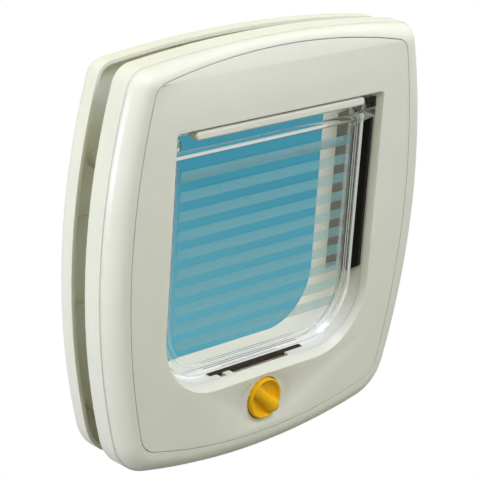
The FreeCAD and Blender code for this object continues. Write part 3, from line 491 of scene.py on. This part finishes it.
def tufted(node, facing, material):
    """Makes the node's pile strip with rows of short tufts on its brushed side."""
    form = merged_form(node)
    facing = Vector(facing)
    brushed = max(form.faces, key=lambda face: face.normal.dot(facing) * face.calc_area())
    corners = [vert.co.copy() for vert in brushed.verts]
    pitch = sizes().tuft_pitch
    lean = sizes().tuft_lean
    height = sizes().tuft_height
    columns = max(2, round((corners[1] - corners[0]).length / pitch))
    rows = max(2, round((corners[3] - corners[0]).length / pitch))
    chance = random.Random(sizes().tuft_seed)
    upright = facing.to_track_quat("Z", "X").to_matrix().to_4x4()
    lift = Matrix.Translation((0.0, 0.0, height * TUFT_LIFT))
    for column in range(columns):
        share = (column + 0.5) / columns
        near = corners[0].lerp(corners[1], share)
        far = corners[3].lerp(corners[2], share)
        for row in range(rows):
            foot = Matrix.Translation(near.lerp(far, (row + 0.5) / rows))
            tip = Matrix.Rotation(chance.uniform(-lean, lean), 4, "X")
            tip = tip @ Matrix.Rotation(chance.uniform(-lean, lean), 4, "Y")
            bmesh.ops.create_cone(form, segments=TUFT_SIDES, radius1=pitch * TUFT_FOOT, radius2=0.0,
                                  depth=height * TUFT_LENGTH, matrix=foot @ upright @ tip @ lift)
    stands_for(node, node + "_tufts", form, material)


def add_dish(form, lip_y, floor_y):
    """Adds the knob's turned disc, from its collar round its lip to the middle of its dish."""
    radius = sizes().knob_radius
    profile = [(COLLAR_RADIUS, COLLAR_REAR), (COLLAR_RADIUS, DISC_BACK), (DISC_RADIUS, DISC_BACK),
               (DISC_RADIUS, COVER_FACE), (radius, COVER_FACE - 0.1 * MM), (radius, lip_y + 0.3 * MM),
               (radius - 0.15 * MM, lip_y + 0.08 * MM), (radius - LIP_CREST, lip_y),
               (radius - 0.8 * MM, lip_y + 0.12 * MM), (radius - LIP_WIDTH, lip_y + LIP_DEPTH)]
    for step in range(1, DISH_STEPS + 1):
        turn = math.pi / 2 * step / DISH_STEPS
        profile.append(((radius - LIP_WIDTH) * math.cos(turn) + DISH_POLE,
                        lip_y + LIP_DEPTH + (floor_y - lip_y - LIP_DEPTH) * math.sin(turn)))
    verts = [form.verts.new((r, y, LOCK_AXIS)) for r, y in profile]
    edges = [form.edges.new(pair) for pair in zip(verts, verts[1:])]
    bmesh.ops.spin(form, geom=verts + edges, cent=(0.0, 0.0, LOCK_AXIS), axis=(0.0, 1.0, 0.0),
                   angle=math.tau, steps=DISC_STEPS, use_merge=True, use_duplicate=False)


def grip_half_width(along):
    """Half width of the grip at this place, before its nose closes."""
    waist = sizes().grip_waist
    if along < 0.0:
        return waist + (sizes().grip_tail - waist) * along ** 2
    return waist + (sizes().grip_nose - waist) * math.sin(along * math.pi / 2) ** 2


def grip_place(along, lip_y, floor_y):
    """Matrix that puts a unit section of the grip, with its width on X and its height on Z, at this place."""
    past = max(0.0, (along - NOSE_START) / (1.0 - NOSE_START))
    closing = math.sqrt(max(0.0, 1.0 - past ** 2))
    half = grip_half_width(along) * max(closing, NOSE_END_WIDTH)
    rise = (GRIP_NOSE_RISE + GRIP_TAIL_DIP) * (0.5 + 0.5 * along) ** GRIP_RISE_POWER
    crest = lip_y + GRIP_TAIL_DIP - rise
    crest = floor_y + (crest - floor_y) * (NOSE_END_HEIGHT + (1.0 - NOSE_END_HEIGHT) * closing)
    turn = sizes().grip_turn
    across = Vector((math.sin(turn), 0.0, math.cos(turn)))
    ahead = Vector((math.cos(turn), 0.0, -math.sin(turn)))
    foot = Vector((0.0, floor_y + GRIP_FOOT, LOCK_AXIS))
    place = Matrix((across * half, ahead, (0.0, crest - foot.y, 0.0))).transposed().to_4x4()
    place.translation = foot + ahead * sizes().grip_length * along
    return place


def add_grip(form, lip_y, floor_y):
    """Adds the knob's grip: a rounded section extruded from its tail to its nose."""
    section = []
    for step in range(GRIP_SECTION_STEPS + 1):
        angle = math.pi * step / GRIP_SECTION_STEPS
        side = math.copysign(abs(math.cos(angle)) ** 0.75, math.cos(angle))
        flare = 1.0 + GRIP_FLARE * (1.0 - math.sin(angle))
        section.append(form.verts.new((side * flare, 0.0, math.sin(angle) ** 0.8)))
    edges = [form.edges.new(pair) for pair in zip(section, section[1:])]
    place = grip_place(-1.0, lip_y, floor_y)
    bmesh.ops.transform(form, matrix=place, verts=section)
    form.faces.new(section)
    for station in range(1, GRIP_SECTIONS + 1):
        extruded = bmesh.ops.extrude_edge_only(form, edges=edges)["geom"]
        section = [part for part in extruded if isinstance(part, bmesh.types.BMVert)]
        edges = [part for part in extruded if isinstance(part, bmesh.types.BMEdge)]
        next_place = grip_place(-1.0 + 2.0 * station / GRIP_SECTIONS, lip_y, floor_y)
        bmesh.ops.transform(form, matrix=next_place @ place.inverted(), verts=section)
        place = next_place
    bmesh.ops.contextual_create(form, geom=edges)


def sculpted_knob(material):
    """Makes the knob with a deep dish and a flowing grip, on the shaft of its CAD node."""
    form = merged_form("lock_knob")
    ahead_of_collar = COLLAR_REAR - 0.05 * MM
    front = [face for face in form.faces if any(vert.co.y < ahead_of_collar for vert in face.verts)]
    bmesh.ops.delete(form, geom=front, context="FACES")
    lip_y = COVER_FACE - sizes().knob_proud
    floor_y = lip_y + sizes().knob_dish
    add_dish(form, lip_y, floor_y)
    add_grip(form, lip_y, floor_y)
    bmesh.ops.remove_doubles(form, verts=form.verts, dist=SAME_CORNER)
    bmesh.ops.recalc_face_normals(form, faces=form.faces)
    soften(form, KNOB_CREASE)
    stands_for("lock_knob", "knob", form, material)


class CATFLAP_OT_frames(bpy.types.Operator):
    """Finish the white frames, cover and hinge bar"""

    bl_idname = "catflap.frames"
    bl_label = "Finish Frames"

    def execute(self, context):
        material = white_plastic()
        for node in WHITE_SHELLS:
            rounded(node, node + "_shell", merged_form(node), material,
                    sizes().edge, sizes().sharp_angle)
        rim = welded_form("inner_rim", sizes().weld, sizes().rim_angle)
        rounded("inner_rim", "inner_rim_shell", rim, material,
                sizes().edge, sizes().rim_angle)
        return {"FINISHED"}


class CATFLAP_OT_flap(bpy.types.Operator):
    """Finish the clear flap and its frosted stripes"""

    bl_idname = "catflap.flap"
    bl_label = "Finish Flap"

    def execute(self, context):
        rounded("flap", "clear_flap", merged_form("flap"), clear_plastic(),
                sizes().clear_edge, sizes().sharp_angle)
        dress("flap_stripes", frosted_stripe())
        return {"FINISHED"}


class CATFLAP_OT_strips(bpy.types.Operator):
    """Finish the pile strips"""

    bl_idname = "catflap.strips"
    bl_label = "Finish Strips"

    def execute(self, context):
        black = pile("black_pile", tuple(colours().black))
        grey = pile("grey_pile", tuple(colours().grey))
        for node, facing in SIDE_STRIPS:
            tufted("side_pile_" + node, facing, black)
            tufted("rear_pile_" + node, facing, grey)
        tufted("sill_pile", (0.0, 0.0, 1.0), pile("brown_pile", tuple(colours().brown)))
        return {"FINISHED"}


class CATFLAP_OT_lock(bpy.types.Operator):
    """Finish the knob and the hidden lock parts"""

    bl_idname = "catflap.lock"
    bl_label = "Finish Lock"

    def execute(self, context):
        sculpted_knob(yellow_plastic())
        # The cams get the darker, browner copy of the knob's yellow: painted shade for the slots they sit in.
        amber = cam_plastic()
        for node in CAM_NODES:
            dress(node, amber)
        return {"FINISHED"}


class CATFLAP_OT_metal(bpy.types.Operator):
    """Finish the pins, screws and spring"""

    bl_idname = "catflap.metal"
    bl_label = "Finish Metal"

    def execute(self, context):
        steel = drawn_steel()
        for node in STEEL_NODES:
            dress(node, steel)
        return {"FINISHED"}


def area_lamp(name, place, aim, size, power, colour):
    """A soft square lamp that looks at a point."""
    light = bpy.data.lights.new(name, "AREA")
    light.shape = "SQUARE"
    light.size = size
    light.energy = power
    light.color = colour
    lamp = bpy.data.objects.new(name, light)
    lamp.location = place
    lamp.rotation_mode = "QUATERNION"
    lamp.rotation_quaternion = (Vector(aim) - Vector(place)).to_track_quat("-Z", "Y")
    bpy.context.scene.collection.objects.link(lamp)


def stage_floor():
    """Floor that a camera ray sees white, with a blue patch where it is seen straight through the flap."""
    finish = new_finish("floor")
    paper = finish.node("ShaderNodeBsdfDiffuse", None, Color=PAPER)
    white = finish.node("ShaderNodeEmission", None, Color=WHITE, Strength=1.0)
    away = finish.node("ShaderNodeVectorMath", {"operation": "DOT_PRODUCT"}, finish.place(),
                       (CAMERA_FORWARD[0], CAMERA_FORWARD[1], 0.0), output="Value")
    across = finish.node("ShaderNodeVectorMath", {"operation": "DOT_PRODUCT"}, finish.place(),
                         (CAMERA_FORWARD[1], -CAMERA_FORWARD[0], 0.0), output="Value")
    inside = (across.between(-0.1, -0.09) * (1.0 - across.between(0.13, 0.14))
              * (1.0 - away.between(0.7, 0.72)))
    blue = finish.mix(away.between(0.15, 0.42), NEAR_BLUE, FAR_BLUE)
    backdrop = finish.node("ShaderNodeEmission", None, Color=finish.mix(inside, PALE_FLOOR, blue),
                           Strength=1.0)
    bright = finish.ray("Camera") + finish.ray("Glossy") * 0.5
    seen = finish.node("ShaderNodeMixShader", None, bright, paper, white)
    through = finish.ray("Transmission")
    return finish.surface(finish.node("ShaderNodeMixShader", None, through, seen, backdrop))


def add_floor():
    """Adds the floor, level with the bottom of the part."""
    form = bmesh.new()
    bmesh.ops.create_grid(form, x_segments=1, y_segments=1, size=FLOOR_REACH,
                          matrix=Matrix.Translation((0.0, 0.0, CAD_BOX[0].z)))
    mesh = bpy.data.meshes.new("floor")
    form.to_mesh(mesh)
    form.free()
    mesh.materials.append(stage_floor())
    floor = bpy.data.objects.new("floor", mesh)
    bpy.context.scene.collection.objects.link(floor)


def studio_world():
    """Even fill light, which a camera ray sees as white and a ray through the clear flap as a pale wall."""
    sky = Finish(bpy.data.worlds.new("studio"), "ShaderNodeOutputWorld")
    fill = sky.node("ShaderNodeBackground", None, Color=FILL, Strength=FILL_STRENGTH)
    white = sky.node("ShaderNodeBackground", None, Color=WHITE)
    pale = sky.node("ShaderNodeBackground", None, Color=PALE_WALL)
    seen = sky.node("ShaderNodeMixShader", None, sky.ray("Camera"), fill, white)
    return sky.surface(sky.node("ShaderNodeMixShader", None, sky.ray("Transmission"), seen, pale))


def photo_camera():
    """The camera that sees the part as the photograph does."""
    data = bpy.data.cameras.new("camera")
    data.sensor_width = SENSOR
    data.lens = LENS
    data.shift_x, data.shift_y = SHIFT
    data.clip_start = 0.01
    camera = bpy.data.objects.new("camera", data)
    forward = Vector(CAMERA_FORWARD).normalized()
    up = -Vector(CAMERA_DOWN)
    up = (up - forward * up.dot(forward)).normalized()
    turn = Matrix((forward.cross(up), up, -forward)).transposed()
    camera.matrix_world = Matrix.Translation(CAMERA_PLACE) @ turn.to_4x4()
    bpy.context.scene.collection.objects.link(camera)
    return camera


class CATFLAP_OT_stage(bpy.types.Operator):
    """Make the floor, the lamps, the world and the camera"""

    bl_idname = "catflap.stage"
    bl_label = "Make Stage"

    def execute(self, context):
        add_floor()
        context.scene.world = studio_world()
        for lamp in LAMPS:
            area_lamp(*lamp)
        context.scene.camera = photo_camera()
        context.scene.view_settings.view_transform = "Standard"
        return {"FINISHED"}


class CATFLAP_PT_panel(bpy.types.Panel):
    """Lists the cat flap's finishing steps"""

    bl_idname = "CATFLAP_PT_panel"
    bl_label = "Cat Flap"
    bl_space_type = "VIEW_3D"
    bl_region_type = "UI"
    bl_category = "Cat Flap"

    def draw(self, context):
        column = self.layout.column()
        for step in STEPS:
            column.operator(step.bl_idname)
        for group in (context.scene.flap_sizes, context.scene.flap_colours):
            for name in group.bl_rna.properties.keys():
                if name not in ("rna_type", "name"):
                    column.prop(group, name)


STEPS = (CATFLAP_OT_frames, CATFLAP_OT_flap, CATFLAP_OT_strips, CATFLAP_OT_lock, CATFLAP_OT_metal,
         CATFLAP_OT_stage)
CLASSES = (FlapSizes, FlapColours, *STEPS, CATFLAP_PT_panel)


def register():
    """Adds the classes and the two groups of settings."""
    for item in CLASSES:
        bpy.utils.register_class(item)
    bpy.types.Scene.flap_sizes = PointerProperty(type=FlapSizes)
    bpy.types.Scene.flap_colours = PointerProperty(type=FlapColours)


def unregister():
    """Removes them again."""
    del bpy.types.Scene.flap_colours
    del bpy.types.Scene.flap_sizes
    for item in reversed(CLASSES):
        bpy.utils.unregister_class(item)


def main():
    """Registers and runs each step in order."""
    register()
    bpy.ops.catflap.frames()
    bpy.ops.catflap.flap()
    bpy.ops.catflap.strips()
    bpy.ops.catflap.lock()
    bpy.ops.catflap.metal()
    bpy.ops.catflap.stage()
    bpy.context.view_layer.update()


if __name__ == "__main__":
    main()
